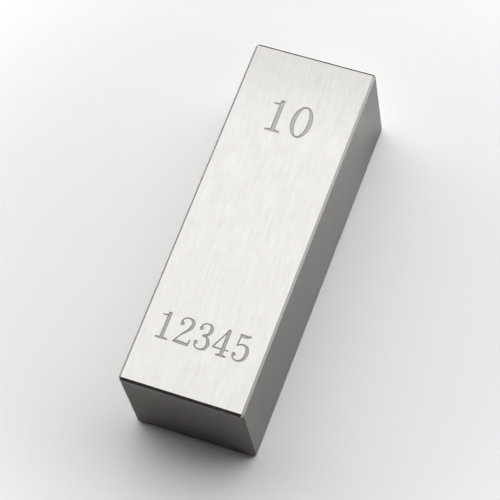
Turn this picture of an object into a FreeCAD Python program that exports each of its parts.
"""Rectangular steel gauge block of 10 mm nominal size, in its own frame, in millimetres.

The block is one piece of hardened steel.  Its two gauging faces look along X, and the
distance between them is the size that the block stands for.  The other four faces only
carry it: two long side faces look along Z, the upper one being where a block of this
size is marked, and two end faces look along Y.

The origin is at the middle of the lower side face, on which the block lies at rest.

Every edge is bevelled, so that no burr can hold a gauging face off its neighbour when
two blocks are wrung together.  The four edges between side faces and end faces are
bevelled first, and then each gauging face all the way round, so that the bevels meet in
a small facet at every corner.
"""

import FreeCAD
import Part
import Sketcher

import os

SHEET_NAME = "sizes"
NODE_NAME = "gauge_block"

# Driving dimensions: alias in the sheet, value, and what the value sets.
SIZES = (
    ("nominal_size", 10.0, "distance between the two gauging faces, along X"),
    ("section_length", 30.0, "long side of the section across the gauging axis, along Y"),
    ("section_depth", 9.0, "short side of the section across the gauging axis, along Z"),
    ("side_bevel", 0.2, "leg of the bevels between side faces and end faces"),
    ("gauging_bevel", 0.18, "leg of the bevels round each gauging face"),
)

# Sketcher's numbers for the two ends of a line, and for the sketch's origin.
START, END = 1, 2
SKETCH_ORIGIN = (-1, START)

# Two lengths in millimetres closer than this are the same length.
TOLERANCE = 1e-6


def make_sheet(doc):
    """Return the spreadsheet of driving dimensions, each cell with its alias."""
    sheet = doc.addObject("Spreadsheet::Sheet", SHEET_NAME)
    for row, (alias, value, meaning) in enumerate(SIZES, start=1):
        sheet.set(f"A{row}", meaning)
        sheet.set(f"B{row}", str(value))
        sheet.setAlias(f"B{row}", alias)
    doc.recompute()
    return sheet


def origin_plane(body, role):
    """Return the origin plane of the body that has this role, such as YZ_Plane."""
    return next(plane for plane in body.Origin.OriginFeatures if plane.Role == role)


def draw_section(body, sheet):
    """Draw the section across the gauging axis: a rectangle that stands on Z = 0.

    The sketch lies on the YZ plane, so its own x runs along Y and its own y along Z.
    """
    sketch = body.newObject("Sketcher::SketchObject", "section")
    sketch.AttachmentSupport = (origin_plane(body, "YZ_Plane"), [""])
    sketch.MapMode = "FlatFace"

    half_length = sheet.section_length / 2
    corners = [
        FreeCAD.Vector(-half_length, 0, 0),
        FreeCAD.Vector(half_length, 0, 0),
        FreeCAD.Vector(half_length, sheet.section_depth, 0),
        FreeCAD.Vector(-half_length, sheet.section_depth, 0),
    ]
    sides = [
        sketch.addGeometry(Part.LineSegment(start, end), False)
        for start, end in zip(corners, corners[1:] + corners[:1])
    ]
    for side, following in zip(sides, sides[1:] + sides[:1]):
        meet = Sketcher.Constraint("Coincident", side, END, following, START)
        sketch.addConstraint(meet)

    lower_side, far_end, upper_side, near_end = sides
    for level in (lower_side, upper_side):
        sketch.addConstraint(Sketcher.Constraint("Horizontal", level))
    for upright in (far_end, near_end):
        sketch.addConstraint(Sketcher.Constraint("Vertical", upright))
    ends = (lower_side, START, lower_side, END)
    sketch.addConstraint(Sketcher.Constraint("Symmetric", *ends, *SKETCH_ORIGIN))

    for line, alias in ((lower_side, "section_length"), (far_end, "section_depth")):
        size = Sketcher.Constraint("Distance", line, getattr(sheet, alias))
        sketch.renameConstraint(sketch.addConstraint(size), alias)
        sketch.setExpression(f"Constraints.{alias}", f"{SHEET_NAME}.{alias}")
    return sketch


def pad_section(body, sketch):
    """Pad the section to the nominal size, half of it to each side of X = 0."""
    blank = body.newObject("PartDesign::Pad", "blank")
    blank.Profile = sketch
    blank.SideType = "Symmetric"
    blank.setExpression("Length", f"{SHEET_NAME}.nominal_size")
    return blank


def edge_names(shape, wanted):
    """Return the names, such as Edge3, of the edges that the test accepts."""
    return [
        f"Edge{number}"
        for number, edge in enumerate(shape.Edges, start=1)
        if wanted(edge)
    ]


def bevel(body, base, name, size_alias, wanted):
    """Bevel the edges of the base feature that the test accepts, by one sheet value."""
    body.Document.recompute()
    feature = body.newObject("PartDesign::Chamfer", name)
    feature.Base = (base, edge_names(base.Shape, wanted))
    feature.ChamferType = "Equal distance"
    feature.setExpression("Size", f"{SHEET_NAME}.{size_alias}")
    return feature


def runs_along_x(edge):
    """Whether an edge is one of those between a side face and an end face."""
    box = edge.BoundBox
    return box.YLength < TOLERANCE and box.ZLength < TOLERANCE


def lies_on_gauging_face(edge):
    """Whether an edge borders one of the two gauging faces."""
    return edge.BoundBox.XLength < TOLERANCE


def make_block(doc, sheet):
    """Build the block as a padded section with two rounds of bevels.

    It is the only piece, so it stays at the origin of the frame, unturned.
    """
    body = doc.addObject("PartDesign::Body", NODE_NAME)
    body.Label = NODE_NAME
    body.Placement = FreeCAD.Placement()
    blank = pad_section(body, draw_section(body, sheet))
    bevelled_sides = bevel(body, blank, "side_bevels", "side_bevel", runs_along_x)
    bevel(body, bevelled_sides, "gauging_bevels", "gauging_bevel", lies_on_gauging_face)
    return body


def check(doc, body, sheet):
    """Stop if a feature failed, cut nothing, or the block isn't the size it should be."""
    for item in doc.Objects:
        if {"Invalid", "Error"} & set(item.State):
            raise RuntimeError(f"{item.Name} did not build: {item.State}")
    shape = body.Shape
    if shape.isNull() or not shape.isValid() or len(shape.Solids) != 1:
        raise RuntimeError(f"{body.Label} is not one valid solid")

    features = [item for item in body.Group if item.isDerivedFrom("PartDesign::Feature")]
    volumes = [item.Shape.Volume for item in features]
    if any(after >= before for before, after in zip(volumes, volumes[1:])):
        raise RuntimeError(f"a bevel of {body.Label} cut nothing: {volumes}")

    box = shape.BoundBox
    built = (box.XLength, box.YLength, box.ZLength, box.ZMin)
    asked = (sheet.nominal_size, sheet.section_length, sheet.section_depth, 0)
    if any(abs(one - other) > TOLERANCE for one, other in zip(built, asked)):
        raise RuntimeError(f"{body.Label} measures {built} and not {asked}")


def main():
    doc = FreeCAD.newDocument("gauge_block")
    sheet = make_sheet(doc)
    block = make_block(doc, sheet)
    doc.recompute()
    check(doc, block, sheet)

    os.makedirs("parts", exist_ok=True)
    block.Shape.exportStep(f"parts/{NODE_NAME}.step")
    print(f"{block.Label}: {len(block.Shape.Faces)} faces, {block.Shape.Volume:.2f} mm3")


main()
